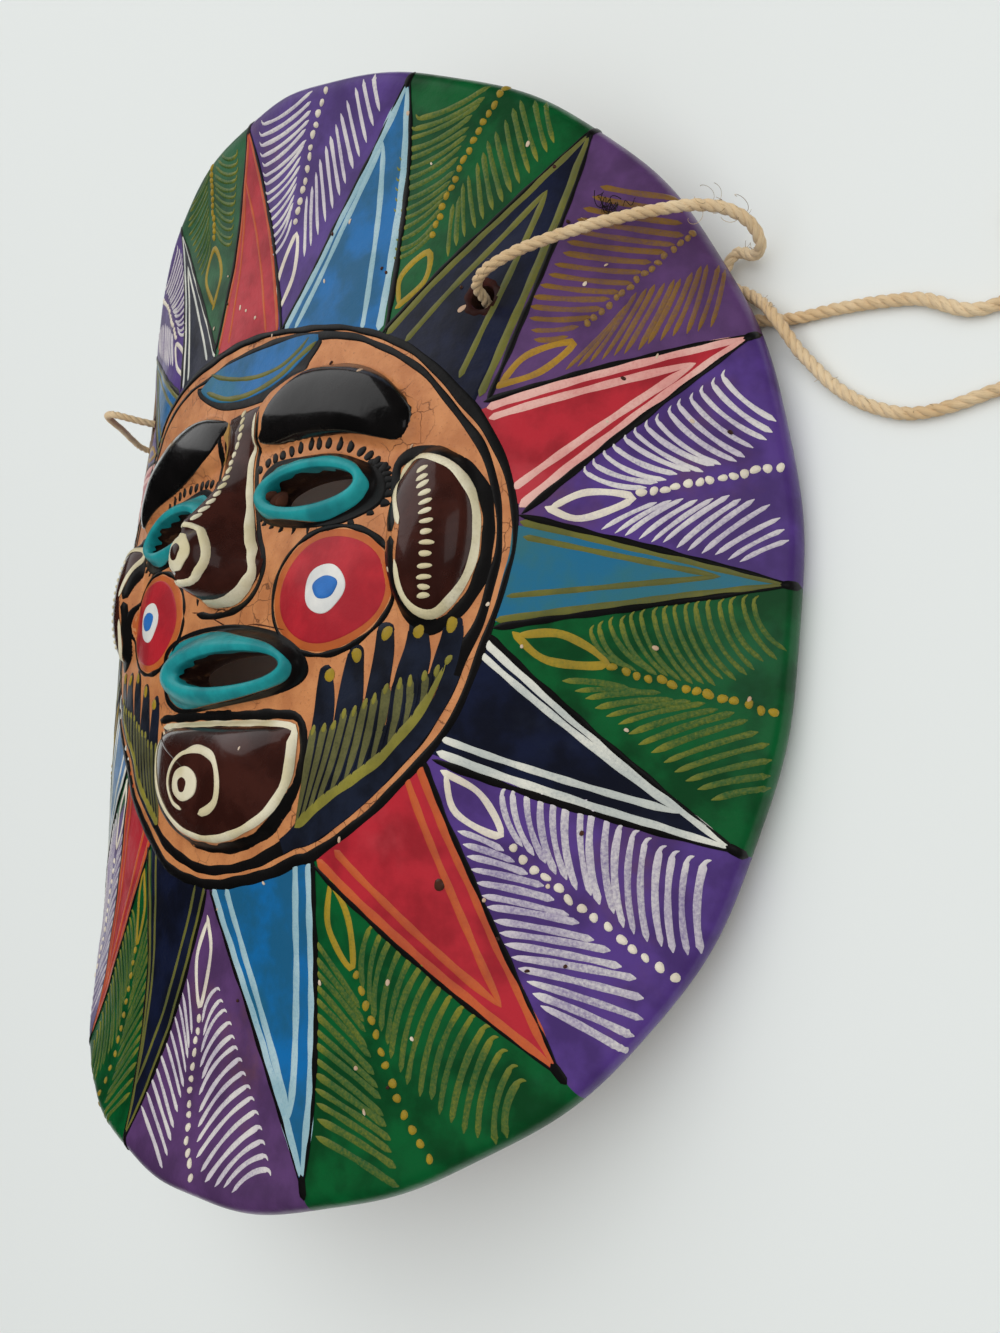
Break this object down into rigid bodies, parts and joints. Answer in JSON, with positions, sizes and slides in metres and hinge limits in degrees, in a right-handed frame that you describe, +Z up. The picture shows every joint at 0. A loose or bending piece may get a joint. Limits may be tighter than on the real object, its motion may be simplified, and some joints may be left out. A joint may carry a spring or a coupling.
{
  "type": "sun mask",
  "caption": "Painted clay sun mask, a round plate bent across its width, with a raised face, open eyes and mouth, bright rays and a twine hanging cord tied through two holes.",
  "frame": {"origin": "on the table under the middle of the mask, which lies face up on its two side edges", "axes": "+X to the viewer's right and +Y to the top of the mask as its face is looked at, +Z up, out of the face"},
  "size_m": [0.3348, 0.2632, 0.0565],
  "materials": {
    "painted_clay": "hand painted and varnished, semi-gloss, back in bare clay",
    "twine": "matte twisted cotton twine"
  },
  "bodies": {
    "root": {"sun_mask": "painted_clay", "cord": "twine", "knot_right": "twine", "knot_left": "twine"}
  },
  "joints": []
}
